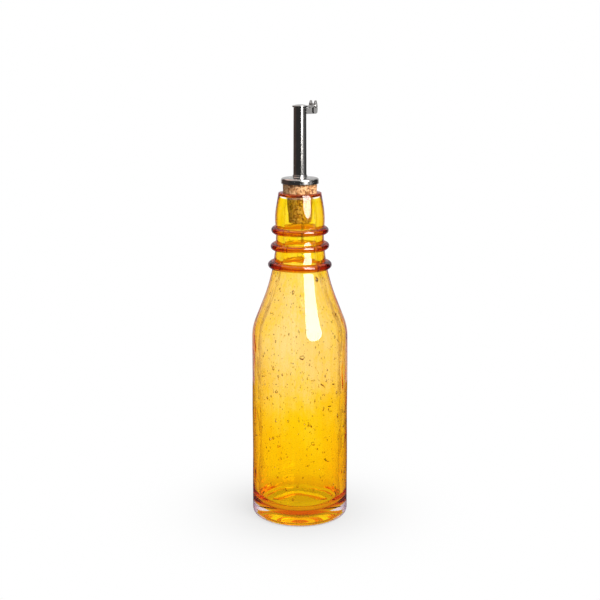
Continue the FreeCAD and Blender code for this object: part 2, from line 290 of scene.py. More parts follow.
@dataclass(frozen=True)
class GoldFlecked(GlassColour):
    """Amber whose faces carry golden colour: deep at the foot, in drawn-out flecks above, and
    paler on the camera's side and the back, which is a painted reflection.

    Heights are in metres, and shares are of the gold, from 0 to 1. Flecks at their mean add none.
    """

    gold: Colour = (0.99, 0.95, 0.02)
    dull: Colour = (0.74, 0.62, 0.30)
    full_below: float = 0.020
    none_above: float = 0.120
    foot_share: float = 0.90
    neck_from: float = 0.160
    neck_full: float = 0.178
    neck_share: float = 0.52
    fleck_share: float = 0.276
    fleck_mean: float = 0.66667
    drawn_scales: Triple = (640.0, 640.0, 230.0)
    cloud_scales: Triple = (85.0, 85.0, 50.0)
    # painted reflection: above mid height, the gold is thinned where the wall faces this way or
    # the opposite way
    front: Triple = (-0.574, -0.819, 0.0)
    painted_reflection_reach: Pair = (0.017, 0.030)
    painted_reflection_above: Pair = (0.050, 0.080)
    painted_reflection_share: float = 0.12
    most: float = 0.97
    dust_scale: float = 380.0
    dust_stretch: Triple = (1.0, 1.0, 0.55)
    dust_size: Pair = (0.16, 0.09)
    dust_pick: Pair = (0.56, 0.66)

    def golden_share(self, tree: Tree, place: Sock) -> Sock:
        """How golden the faces are.

        Args:
            tree: the material's nodes.
            place: a point of the surface.

        Returns:
            A share from 0 to 1.
        """
        height = tree.vector("DOT_PRODUCT", place, (0, 0, 1), output="Value")
        foot = height.smooth(self.none_above, self.full_below) * self.foot_share
        neck = height.smooth(self.neck_from, self.neck_full) * self.neck_share
        drawn = tree.noise(tree.stretched(place, self.drawn_scales), 1.0, 3.0, 0.65)
        clouds = tree.noise(tree.stretched(place, self.cloud_scales), 1.0, 4.0, 0.62)
        fleck = drawn.smooth(0.42, 0.64) + clouds.smooth(0.40, 0.62)
        # painted reflection: paler amber on the camera's side and the back
        facing = abs(tree.vector("DOT_PRODUCT", place, self.front, output="Value"))
        painted_reflection = (facing.smooth(*self.painted_reflection_reach) * height.smooth(*self.painted_reflection_above)
                 * self.painted_reflection_share)
        share = foot + neck + (fleck - self.fleck_mean) * self.fleck_share - painted_reflection
        return tree.maths("MAXIMUM", tree.maths("MINIMUM", share, self.most), 0.0)

    def dust(self, tree: Tree, place: Sock) -> Sock:
        """1 in the fine seeds, which are picked from a field of cells, and 0 elsewhere."""
        cells = tree.cells("F1", tree.stretched(place, self.dust_stretch), self.dust_scale)
        near = Sock(tree, cells.outputs["Distance"]).smooth(*self.dust_size)
        return near * tree.red(cells.outputs["Color"]).smooth(*self.dust_pick)

    def surface(self, tree: Tree) -> Sock:
        """Clear, golden where the flecks are, and dull in the fine seeds."""
        place = tree.place()
        flecked = tree.mix_shader(self.golden_share(tree, place), super().surface(tree),
                                  tree.clear(self.gold))
        return tree.mix_shader(self.dust(tree, place), flecked, tree.clear(self.dull))


@dataclass(frozen=True)
class PolishedSteel:
    """Drawn and polished stainless steel with faint rubbing marks along one axis."""

    name: str = "polished_steel"
    colour: Colour = (0.60, 0.59, 0.58)
    dull_colour: Colour = (0.50, 0.485, 0.47)
    roughness: float = 0.07
    cloud_roughness: float = 0.07
    mark_roughness: float = 0.03
    mark_scales: Triple = (900.0, 900.0, 90.0)
    mark_strength: float = 0.03
    mark_depth: float = 0.05 * MM
    cloud_scale: float = 160.0

    def material(self) -> Material:
        """The finish as a material."""
        made, tree = new_material(self.name)
        place = tree.place()
        marks = tree.noise(tree.stretched(place, self.mark_scales), 1.0, 3.0, 0.6)
        clouds = tree.noise(place, self.cloud_scale, 3.0, 0.6)
        colour = tree.mix(clouds.smooth(0.35, 0.75), self.colour, self.dull_colour)
        roughness = (self.roughness + clouds.smooth(0.4, 0.8) * self.cloud_roughness
                     + marks * self.mark_roughness)
        bump = tree.node("ShaderNodeBump", None, {
            "Strength": self.mark_strength, "Distance": self.mark_depth, "Height": marks})
        tree.output(tree.shader("ShaderNodeBsdfPrincipled", {
            "Base Color": colour, "Metallic": 1.0, "Roughness": roughness,
            "Normal": bump.outputs[0]}))
        return made


@dataclass(frozen=True)
class PressedCork:
    """Cork granules pressed into a stopper: pale and tan grains, dark joints and pores."""

    name: str = "pressed_cork"
    grain_size: float = 1.0 * MM
    bend: float = 0.2 * MM
    tan: Colour = (0.62, 0.26, 0.085)
    pale: Colour = (0.98, 0.60, 0.30)
    brown: Colour = (0.17, 0.05, 0.016)
    joint_dark: float = 0.35
    pore_dark: float = 0.8
    roughness: float = 0.72
    relief: float = 0.12 * MM

    def material(self) -> Material:
        """The finish as a material."""
        made, tree = new_material(self.name)
        place = tree.place()
        drift = tree.noise(place, 900.0, 2.0, 0.5)
        swirl = tree.node("ShaderNodeTexNoise", None, {"Vector": place, "Scale": 700.0})
        bent = tree.vector("ADD", place, tree.scaled(swirl.outputs["Color"], self.bend))
        cells = tree.cells("F1", bent, 1.0 / self.grain_size)
        joints = tree.cells("DISTANCE_TO_EDGE", bent, 1.0 / self.grain_size)
        tone = tree.red(cells.outputs["Color"])
        joint = Sock(tree, joints.outputs["Distance"]).smooth(0.10, 0.0)
        pore = tree.noise(place, 1900.0, 2.0, 0.6).smooth(0.57, 0.67)
        colour = tree.ramp(tone * 0.8 + drift * 0.35,
                           [(0.20, self.brown), (0.45, self.tan), (0.78, self.pale)])
        dark = tree.maths("MAXIMUM", joint * self.joint_dark, pore * self.pore_dark)
        bump = tree.node("ShaderNodeBump", None, {
            "Strength": 0.6, "Distance": self.relief,
            "Height": tone * 0.35 - dark + drift * 0.4})
        tree.output(tree.shader("ShaderNodeBsdfPrincipled", {
            "Base Color": tree.mix(dark, colour, self.brown),
            "Roughness": self.roughness + joint * 0.2, "Normal": bump.outputs[0]}))
        return made


# ---- turned meshes
SHARP = 1e-6  # millimetres: a corner whose arc starts nearer to it stays sharp
ROOM = 0.98  # how much of a run its two arcs may take up


def bend_between(before: Array, after: Array) -> float:
    """How far an outline turns from one run to the next, in radians. Left is positive."""
    return math.atan2(before[0] * after[1] - before[1] * after[0], before @ after)


def arc_cuts(corners: Sequence[Corner]) -> list[float]:
    """How far before each corner its arc starts.

    Two arcs share a run between them, and both give way where it is too short.

    Args:
        corners: (radius, height, rounding) of each corner.

    Returns:
        One length for each corner.
    """
    points = [np.array(c[:2], float) for c in corners]
    cuts = [0.0] * len(points)
    for i in range(1, len(points) - 1):
        before, after = points[i] - points[i - 1], points[i + 1] - points[i]
        cuts[i] = corners[i][2] * math.tan(abs(bend_between(before, after)) / 2)
    runs = [float(np.linalg.norm(b - a)) for a, b in zip(points, points[1:])]
    shares = [min(1.0, ROOM * run / max(cuts[i] + cuts[i + 1], SHARP))
              for i, run in enumerate(runs)]
    inner = [cuts[i] * min(shares[i - 1], shares[i]) for i in range(1, len(points) - 1)]
    return [0.0, *inner, 0.0]


def rounded_outline(corners: Sequence[Corner], step: float = 1.5, turn: float = 9.0) -> Array:
    """Points along an outline whose corners are rounded by tangent arcs.

    Args:
        corners: (radius, height, rounding) of each corner, in millimetres.
        step: the longest distance between two points.
        turn: the most an arc turns between two points, in degrees.

    Returns:
        An array of (radius, height).
    """
    points = [np.array(c[:2], float) for c in corners]
    cuts = arc_cuts(corners)
    out = [points[0]]

    def run_to(end: Array) -> None:
        """Adds a straight run."""
        start = out[-1]
        count = max(1, math.ceil(np.linalg.norm(end - start) / step))
        out.extend(start + (end - start) * (k / count) for k in range(1, count + 1))

    for i in range(1, len(points) - 1):
        before = points[i] - points[i - 1]
        after = points[i + 1] - points[i]
        before, after = before / np.linalg.norm(before), after / np.linalg.norm(after)
        bend = bend_between(before, after)
        if cuts[i] < SHARP:
            run_to(points[i])
            continue
        run_to(points[i] - before * cuts[i])
        radius = cuts[i] / math.tan(abs(bend) / 2)
        side = np.array([-before[1], before[0]]) * math.copysign(radius, bend)
        centre = out[-1] + side
        count = max(2, math.ceil(math.degrees(abs(bend)) / turn),
                    math.ceil(abs(bend) * radius / step))
        spoke = out[-1] - centre
        for k in range(1, count + 1):
            angle = bend * k / count
            cosine, sine = math.cos(angle), math.sin(angle)
            out.append(centre + np.array([cosine * spoke[0] - sine * spoke[1],
                                          sine * spoke[0] + cosine * spoke[1]]))
    run_to(points[-1])
    return np.array(out)


def new_object(name: str, data: bpy.types.ID) -> Piece:
    """An object in the scene that shows a mesh, camera or lamp."""
    made = bpy.data.objects.new(name, data)
    bpy.context.scene.collection.objects.link(made)
    return made


def mesh_object(name: str, points: Array, faces: list[Sequence[int]]) -> Piece:
    """A smooth mesh object.

    Args:
        name: the object's name.
        points: vertices in millimetres.
        faces: vertex numbers of each face, counter-clockwise as seen from outside.

    Returns:
        The object, in the scene.
    """
    mesh = bpy.data.meshes.new(name)
    mesh.from_pydata((points * MM).tolist(), [], faces)
    mesh.update()
    mesh.shade_smooth()
    return new_object(name, mesh)


def turned_mesh(name: str, outline: Array, segments: int, warp: Warp,
                closed: bool = False) -> Piece:
    """Turns an outline about Z.

    Args:
        name: the object's name.
        outline: (radius, height) points, which go round the section counter-clockwise.
        segments: how many there are round the axis.
        warp: moves points off the true form, by angle, radius and height.
        closed: whether the last point joins the first, as in a ring. Otherwise both ends lie
            on the axis.

    Returns:
        The object.
    """
    body = outline if closed else outline[1:-1]
    angle = np.linspace(0.0, 2 * math.pi, segments, endpoint=False)
    radius = np.repeat(body[:, :1], segments, axis=1)
    height = np.repeat(body[:, 1:], segments, axis=1)
    turn = np.repeat(angle[None, :], len(body), axis=0)
    radius, height = warp(turn, radius, height)
    points = np.stack([radius * np.cos(turn), radius * np.sin(turn), height], -1).reshape(-1, 3)
    here = np.arange(segments)
    there = (here + 1) % segments
    last = len(body) if closed else len(body) - 1
    faces: list[Sequence[int]] = []
    for row in range(last):
        low, high = row * segments, (row + 1) % len(body) * segments
        faces.extend(np.stack([low + here, low + there, high + there, high + here], -1).tolist())
    if not closed:
        first, final = len(points), len(points) + 1
        points = np.vstack([points, [0, 0, outline[0, 1]], [0, 0, outline[-1, 1]]])
        top = (len(body) - 1) * segments
        faces.extend(np.stack([there, here, np.full(segments, first)], -1).tolist())
        faces.extend(np.stack([top + here, top + there, np.full(segments, final)], -1).tolist())
    return mesh_object(name, points, faces)


def outline_radius(outline: Array, height: float | Array) -> float | Array:
    """Radius of an outline that rises with its height, such as a wall's side."""
    order = np.argsort(outline[:, 1], kind="stable")
    return np.interp(height, outline[order, 1], outline[order, 0])


@dataclass(frozen=True)
class Ripple:
    """Slow unevenness of blown glass: waves round and up the wall.

    Depth is the usual height of the waves, most is the most that they reach, and tall is about
    the length of a wave up the wall, all in millimetres. Around is the most waves to a turn.
    """

    depth: float
    around: int
    tall: float
    count: int
    seed: int
    most: float = 0.6

    def __call__(self, angle: Array, height: Array) -> Array:
        """How far the surface stands out at each angle and height.

        Args:
            angle: round the axis, in radians.
            height: in millimetres.

        Returns:
            Millimetres, about 0.
        """
        random = np.random.default_rng(self.seed)
        total = np.zeros_like(angle)
        for _ in range(self.count):
            waves = random.integers(1, self.around + 1)
            pitch = 2 * math.pi / (self.tall * random.uniform(0.7, 2.0))
            phase = random.uniform(0, 2 * math.pi, 2)
            total += np.cos(waves * angle + phase[0]) * np.cos(height * pitch + phase[1])
        return self.most * np.tanh(total * (self.depth / math.sqrt(self.count)) / self.most)


@dataclass(frozen=True)
class Streaks:
    """Unevenness from a smoothed random field: lines drawn out up the wall, or clouds.

    Depth is the usual height and most the most that they reach, in millimetres. Across and
    along say how far the field is smoothed round and up, in its columns and rows.
    """

    depth: float
    across: float
    along: float
    seed: int
    rows: int = 256
    columns: int = 512
    tall: float = 230.0
    most: float = 0.35

    def field(self) -> Array:
        """A smooth random field over height and angle, with a spread of one."""
        random = np.random.default_rng(self.seed)
        white = np.fft.fft2(random.standard_normal((self.rows, self.columns)))
        up = np.fft.fftfreq(self.rows)[:, None] * self.along
        round_ = np.fft.fftfreq(self.columns)[None, :] * self.across
        smooth = np.fft.ifft2(white * np.exp(-2 * math.pi ** 2 * (up ** 2 + round_ ** 2))).real
        return smooth / smooth.std()

    def __call__(self, angle: Array, height: Array) -> Array:
        """How far the surface stands out at each angle and height.

        Args:
            angle: round the axis, in radians.
            height: in millimetres.

        Returns:
            Millimetres, about 0.
        """
        values = self.field()
        row = np.clip(height / self.tall, 0, 0.999) * (self.rows - 1)
        column = (angle / (2 * math.pi) % 1.0) * self.columns
        r0, c0 = row.astype(int), column.astype(int) % self.columns
        r1, c1 = np.minimum(r0 + 1, self.rows - 1), (c0 + 1) % self.columns
        fr, fc = row - r0, column - np.floor(column)
        low = values[r0, c0] * (1 - fc) + values[r0, c1] * fc
        high = values[r1, c0] * (1 - fc) + values[r1, c1] * fc
        return self.most * np.tanh((low * (1 - fr) + high * fr) * self.depth / self.most)


# ---- the glass
class Depth(Enum):
    """How deep in the glass an outline lies."""

    SURFACE = 0.0
    COLOUR = 0.15


@dataclass(frozen=True)
class Thread:
    """One thread of glass laid round the neck, in millimetres. Its phase is in radians."""

    height: float
    proud: float
    thickness: float
    sway: float
    phase: float

    def middle_radius(self, neck: float) -> float:
        """How far from the axis its middle runs, on a neck of this radius."""
        return neck + self.proud - self.thickness / 2


@dataclass(frozen=True)
class Bubbles:
    """Air bubbles in the wall, drawn out upwards, in millimetres.

    Crowding shapes a beta distribution over their rise, and skin is the glass round each.
    """

    count: int = 900
    lowest: float = 14.0
    rise: float = 196.0
    crowding: Pair = (1.25, 1.7)
    radius: float = 0.29
    spread: float = 0.55
    smallest: float = 0.12
    largest: float = 1.0
    skin: float = 0.45
    play: float = 0.2
    stretch: Pair = (1.2, 2.0)
    lean: float = 0.12
    seed: int = 31

    @staticmethod
    def ball() -> tuple[Array, Array]:
        """A unit ball's vertices, and its triangles facing inwards, into the air."""
        work = bmesh.new()
        bmesh.ops.create_icosphere(work, subdivisions=1, radius=1.0)
        points = np.array([v.co[:] for v in work.verts])
        triangles = np.array([[v.index for v in f.verts][::-1] for f in work.faces])
        work.free()
        return points, triangles

    def fill(self, outside: Array, inside: Array) -> Piece:
        """Scatters the bubbles through a wall.

        Args:
            outside: the wall's outer side, as (radius, height) points.
            inside: its inner side.

        Returns:
            One object that holds them all.
        """
        random = np.random.default_rng(self.seed)
        unit, triangles = self.ball()
        points: list[Array] = []
        faces: list[Sequence[int]] = []
        for _ in range(self.count):
            z = self.lowest + self.rise * random.beta(*self.crowding)
            turn = random.uniform(0, 2 * math.pi)
            size = float(np.clip(random.lognormal(math.log(self.radius), self.spread),
                                 self.smallest, self.largest))
            inner, outer = (float(outline_radius(side, z)) for side in (inside, outside))
            margin = size + self.skin
            if outer - inner < 2 * margin + self.play:
                continue
            r = random.uniform(inner + margin, outer - margin)
            body = unit * np.array([size, size, size * random.uniform(*self.stretch)])
            body = body + np.outer(body[:, 2], [0, random.normal(0, self.lean), 0])
            cosine, sine = math.cos(turn), math.sin(turn)
            spun = np.stack([body[:, 0] * cosine - body[:, 1] * sine,
                             body[:, 0] * sine + body[:, 1] * cosine, body[:, 2]], -1)
            faces.extend((triangles + len(unit) * len(points)).tolist())
            points.append(spun + [r * cosine, r * sine, z])
        return mesh_object("bubbles", np.vstack(points), faces)


@dataclass(frozen=True)
class Bottle:
    """The blown bottle: clear shell, amber layer, threads round the neck and bubbles.

    Measures are in millimetres, and a corner is a radius, a height and a rounding.
    """

    foot_radius: float = 32.75
    body_radius: float = 32.25
    body_height: float = 132.0
    shoulder_height: float = 38.0
    neck_foot: float = 17.3
    waist: Corner = (15.8, 194.0, 50.0)
    bulge: Corner = (16.7, 208.0, 50.0)
    lip_radius: float = 14.2
    height: float = 222.8
    foot_hollow: tuple[Corner, ...] = ((0.0, 2.2, 0.0), (12.0, 2.2, 20.0), (20.0, 0.0, 1.2))
    mouth_radius: float = 11.6
    mouth: tuple[Corner, ...] = ((11.25, 222.1, 0.5), (9.6, 220.1, 0.5))
    throat: Corner = (9.6, 217.4, 6.0)
    floor: float = 9.0
    floor_round: float = 8.8
    body_wall: float = 4.1
    neck_foot_wall: float = 4.7
    neck_wall: float = 5.5
    threads: tuple[Thread, ...] = (
        Thread(197.9, 3.0, 4.4, 0.25, 0.4),
        Thread(187.2, 3.25, 4.4, 0.30, 2.0),
        Thread(174.6, 3.4, 5.0, 0.25, 4.4),
    )
    thread_room: float = 1.1
    thread_crease: float = 0.55
    thread_skin: float = 0.75
    thread_section: int = 20
    thread_segments: int = 128
    segments: int = 200
    amber_segments: int = 320
    amber_depth: float = 2.1
    amber_neck_depth: float = 1.25
    amber_foot_depth: float = 2.7
    amber_foot_drop: float = 2.1
    amber_foot_round: float = 6.0
    base_depth: float = 0.9
    base_edge: float = 23.0
    base_round: float = 8.0
    amber_top: tuple[Corner, ...] = ((10.7, 218.4, 2.0), (10.3, 219.0, 0.3), (9.85, 218.9, 0.2))
    calm_below: float = 10.0
    calm_foot_reach: float = 20.0
    calm_lip: float = 8.0
    calm_amber_top: float = 214.0
    calm_top_reach: float = 10.0
    outer_ripple: Ripple = Ripple(0.10, 5, 60.0, 14, 11)
    inner_ripple: Ripple = Ripple(0.12, 9, 70.0, 22, 18)
    inner_grain: Streaks = Streaks(0.035, 2.6, 2.6, 23)
    amber_lines: Streaks = Streaks(0.16, 1.6, 26.0, 21)
    amber_clouds: Streaks = Streaks(0.16, 14.0, 9.0, 22)

    def outer_corners(self) -> list[Corner]:
        """The outside, from the middle of the foot to the lip, without the threads."""
        return [
            *self.foot_hollow,
            (self.foot_radius, 0.0, 3.2),
            (self.body_radius, self.body_height, 35.0),
            (self.neck_foot, self.body_height + self.shoulder_height, 125.0),
            self.waist, self.bulge,
            (self.lip_radius, self.height, 2.5),
        ]

    def inner_corners(self, depth: Depth) -> list[Corner]:
        """The inside, from the throat down to the middle of the floor.

        Args:
            depth: how far under the surface of the glass.

        Returns:
            The corners.
        """
        d = depth.value
        neck_top = self.body_height + self.shoulder_height
        return [
            (self.throat[0] + d, *self.throat[1:]),
            (self.bulge[0] - self.neck_wall - 0.3 + d, self.bulge[1] - 0.6, 46.0),
            (self.waist[0] - self.neck_wall + d, self.waist[1], 52.0),
            (self.neck_foot - self.neck_foot_wall + d, neck_top - 1.0, 125.0),
            (self.body_radius - self.body_wall + d, self.body_height - 0.9 + d / 4, 31.0),
            (self.foot_radius - self.body_wall + d, self.floor - d, self.floor_round),
            (0.0, self.floor - d, 0.0),
        ]

    def outer_side(self) -> Array:
        """The outside's points above the foot ring, without the threads."""
        outline = rounded_outline(self.outer_corners())
        return outline[np.argmax(outline[:, 0]):]

    def inner_side(self) -> Array:
        """The inside's points."""
        return rounded_outline(self.inner_corners(Depth.SURFACE))

    def neck_radius(self, height: float) -> float:
        """The outside's radius without the threads."""
        return float(outline_radius(self.outer_side(), height))

    def with_threads(self, base: Array) -> list[Corner]:
        """The outside with each thread fused to it.

        Args:
            base: the outside's points, from the foot to the lip.

        Returns:
            Corners, most of them without rounding.
        """
        corners: list[Corner] = []
        rest = [(r, z, 0.0) for r, z in base]
        for thread in sorted(self.threads, key=lambda t: t.height):
            radius = thread.thickness / 2
            neck = self.neck_radius(thread.height)
            centre = thread.middle_radius(neck)
            lean = math.asin((centre - neck) / radius)
            half = radius * math.cos(lean)
            reach = half + self.thread_room
            corners += [c for c in rest if c[1] < thread.height - reach]
            rest = [c for c in rest if c[1] > thread.height + reach]
            crease = centre - radius * math.sin(lean)
            corners.append((crease, thread.height - half, self.thread_crease))
            step = (math.pi / 2 + lean) / 4
            far = radius / math.cos(step)
            corners += [(centre + far * math.cos(turn), thread.height + far * math.sin(turn),
                         radius) for turn in (-3 * step, -step, step, 3 * step)]
            corners.append((crease, thread.height + half, self.thread_crease))
        return corners + rest

    def sway(self, angle: Array, height: Array) -> Array:
        """How far the threads wander up and down round the neck.

        Args:
            angle: round the axis, in radians.
            height: of each point.

        Returns:
            Millimetres, 0 away from the threads.
        """
        total = np.zeros_like(angle)
        for t in self.threads:
            near = np.exp(-((height - t.height) / (t.thickness * 0.8)) ** 2)
            total += near * t.sway * (np.sin(angle + t.phase) + 0.5 * np.sin(3 * angle + t.phase))
        return total

    def inner_swell(self, angle: Array, height: Array) -> Array:
        """Slow waves and fine grain of the inner surface."""
        return self.inner_ripple(angle, height) + self.inner_grain(angle, height)

    def uneven(self, height: Array, top: float) -> Array:
        """1 along the wall, and 0 at the foot and above the top, where the glass is true."""
        risen = np.clip((height - self.calm_below) / self.calm_foot_reach, 0, 1)
        return risen * np.clip((top - height) / self.calm_top_reach, 0, 1)

    def shell_warp(self) -> Warp:
        """The clear shell's unevenness, which differs between the two sides of its wall."""
        heights = np.linspace(self.floor + 1.0, self.height, 120)
        outer = outline_radius(self.outer_side(), heights)
        inner = outline_radius(self.inner_side(), heights)
        middle = np.column_stack([(outer + inner) / 2, heights])

        def warp(angle: Array, radius: Array, height: Array) -> Moved:
            """Waves on both sides, and the threads' wander on the outer one."""
            inside = radius < outline_radius(middle, height)
            swell = np.where(inside, self.inner_swell(angle, height),
                             self.outer_ripple(angle, height))
            swell *= self.uneven(height, self.height - self.calm_lip)
            return radius + swell, height + np.where(inside, 0.0, self.sway(angle, height))

        return warp

    def shell(self) -> Piece:
        """The clear shell."""
        corners = self.with_threads(rounded_outline(self.outer_corners()))
        corners += [(self.mouth_radius, self.height, 0.5), *self.mouth]
        corners += [(r, z, 0.0) for r, z in self.inner_side()]
        outline = rounded_outline(corners, step=1.6, turn=14.0)
        piece = turned_mesh("bottle_glass", outline, self.segments, self.shell_warp())
        piece.data.materials.append(ClearGlass().material())
        return piece

    def amber(self) -> Piece:
        """The coloured layer, which lines the inner side of the wall and of the base."""
        inner = self.inner_corners(Depth.COLOUR)
        wall, neck = inner[3:-2], inner[1:3]
        outside = [
            (0.0, self.floor - Depth.COLOUR.value - self.base_depth, 0.0),
            (self.base_edge, self.floor - Depth.COLOUR.value - self.base_depth, self.base_round),
            (inner[-2][0] + self.amber_foot_depth,
             self.floor - self.amber_foot_drop - self.base_depth, self.amber_foot_round),
            *((r + self.amber_depth, z, rounding) for r, z, rounding in wall[::-1]),
            *((r + self.amber_neck_depth, z, rounding) for r, z, rounding in neck[::-1]),
            *self.amber_top[:-1],
        ]
        inside = [self.amber_top[-1], *inner]
        outline = rounded_outline(outside + inside, step=1.7, turn=14.0)
        edge = len(rounded_outline(outside, step=1.7, turn=14.0))

        def warp(angle: Array, radius: Array, height: Array) -> Moved:
            """Streaks on the outer side of the layer, and the shell's waves on both."""
            outer = np.arange(len(radius))[:, None] < edge
            lines = self.amber_lines(angle, height) + self.amber_clouds(angle, height)
            swell = self.inner_swell(angle, height) + np.where(outer, lines, 0.0)
            return radius + swell * self.uneven(height, self.calm_amber_top), height

        piece = turned_mesh("amber_layer", outline, self.amber_segments, warp)
        piece.data.materials.append(GoldFlecked("amber", (10.0, 96.0, 380.0)).material())
        piece.visible_shadow = False
        return piece

    def thread_colours(self) -> list[Piece]:
        """The deeper colour inside each thread."""
        deep = GlassColour("deep_amber", (130.0, 500.0, 3600.0)).material()
        turn = np.linspace(0, 2 * math.pi, self.thread_section, endpoint=False)

        def warp(angle: Array, radius: Array, height: Array) -> Moved:
            """Follows the threads as they wander."""
            return radius, height + self.sway(angle, height)

        pieces = []
        for number, thread in enumerate(self.threads, 1):
            core = thread.thickness / 2 - self.thread_skin
            centre = thread.middle_radius(self.neck_radius(thread.height))
            section = np.stack([centre + core * np.cos(turn),
                                thread.height + core * np.sin(turn)], -1)
            piece = turned_mesh(f"thread_colour_{number}", section, self.thread_segments, warp,
                                closed=True)
            piece.data.materials.append(deep)
            piece.visible_shadow = False
            pieces.append(piece)
        return pieces

    def seeds(self) -> Piece:
        """The air bubbles in the wall."""
        piece = Bubbles().fill(self.outer_side(), self.inner_side())
        piece.data.materials.append(ClearGlass("bubble_skin", edge=WHITE).material())
        return piece

    def build(self) -> list[Piece]:
        """Makes the glass, which stands for its CAD nodes.

        Returns:
            The pieces.
        """
        shell = self.shell()
        amber = self.amber()
        threads = self.thread_colours()
        seeds = self.seeds()
        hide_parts("glass_bottle", "neck_ring_1", "neck_ring_2", "neck_ring_3")
        pieces = [shell, amber, *threads, seeds]
        for piece in pieces:
            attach(piece, "bottle")
        return pieces


# ---- cork and pourer
@dataclass(frozen=True)
class Pourer:
    """The cork and the steel pourer, which keep their CAD forms."""

    polished: tuple[str, ...] = ("pour_tube", "vent_tube", "hinge_bracket", "hinge_pin", "flap")
    collar_roughness: float = 0.15

    def dress(self, node: str, material: Material) -> Piece:
        """Gives a CAD node its finish."""
        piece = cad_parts[node]
        for slot in piece.material_slots:
            slot.material = material
        return piece

    def build(self) -> list[Piece]:
        """Dresses every piece."""
        steel = PolishedSteel().material()
        spun = PolishedSteel("spun_steel", roughness=self.collar_roughness).material()
        pieces = [self.dress("pourer_collar", spun)]
        pieces += [self.dress(node, steel) for node in self.polished]
        pieces.append(self.dress("cork", PressedCork().material()))
        return pieces


# ---- studio
@dataclass(frozen=True)
class Softbox:
    """The softbox that steel and glass mirror: a tall patch with round ends.

    Angles are in degrees. The edge and the rim are given as how far off the middle line each
    ends and is full. Only glass mirrors it sharply, and steel sees it weaker, with the rim.
    """

    turn: float = 36.5
    low: float = 14.5
    high: float = 38.0
    low_squash: float = 1.3
    edge: Pair = (20.8, 19.6)
    strength: float = 9.5
    sharp_strength: float = 6.5
    tint: Colour = (1.0, 0.99, 0.96)
    rim: Pair = (31.0, 19.0)
    rim_strength: float = 0.7

    def off(self, tree: Tree, turn: Sock, rise: Sock) -> Sock:
        """How far a direction is from the middle line of the patch.

        Args:
            tree: the world's nodes.
            turn: the direction's turn.
            rise: its rise.

        Returns:
            Degrees.
        """
        beside = abs(turn - self.turn)
        below = tree.maths("MAXIMUM", self.low - rise, 0.0)
        above = tree.maths("MAXIMUM", rise - self.high, 0.0)
        return (beside * beside + below * below * self.low_squash + above * above) ** 0.5

    def glow(self, tree: Tree, off: Sock) -> Sock:
        """Its light where it is mirrored.

        Args:
            tree: the world's nodes.
            off: how far a direction is from its middle line.

        Returns:
            A colour.
        """
        sharp = tree.path("Is Singular Ray")
        patch = off.smooth(*self.edge) * (self.strength + sharp * self.sharp_strength)
        return tree.scaled(self.tint, patch + off.smooth(*self.rim) * (1.0 - sharp)
                           * self.rim_strength)


@dataclass(frozen=True)
class Room:
    """The room that steel mirrors: dark and brown, with a pale ceiling, backdrop and card.

    Pairs are the degrees at which a thing begins and is full.
    """

    dark: float = 0.045
    ceiling: Pair = (24.0, 40.0)
    ceiling_light: float = 0.62
    backdrop: Pair = (138.0, 146.0)
    backdrop_light: float = 0.65
    card_turn: float = 70.0
    card_width: Pair = (9.0, 6.0)
    card_top: Pair = (6.0, 2.0)
    card_light: float = 0.55
    brown_turn: float = -105.0
    brown_width: Pair = (42.0, 30.0)
    brown_tint: Colour = (2.1, 1.5, 1.3)
    brown_share: float = 0.9

    def light(self, tree: Tree, turn: Sock, rise: Sock) -> Sock:
        """The room's light, without the softbox.

        Args:
            tree: the world's nodes.
            turn: a direction's turn.
            rise: its rise.

        Returns:
            A colour.
        """
        card = abs(turn - self.card_turn).smooth(*self.card_width) * rise.smooth(*self.card_top)
        brown = abs(turn - self.brown_turn).smooth(*self.brown_width) * self.brown_share
        light = self.dark + rise.smooth(*self.ceiling) * self.ceiling_light
        light = tree.maths("MAXIMUM", light,
                           abs(turn).smooth(*self.backdrop) * self.backdrop_light)
        light = tree.maths("MAXIMUM", light, card * self.card_light)
        return tree.scaled(tree.mix(brown, WHITE, self.brown_tint), light)


@dataclass(frozen=True)
class Lamp:
    """A square lamp. Turn and rise are in degrees, reach and size in metres, power in watts."""

    name: str
    turn: float
    rise: float
    reach: float
    size: float
    power: float


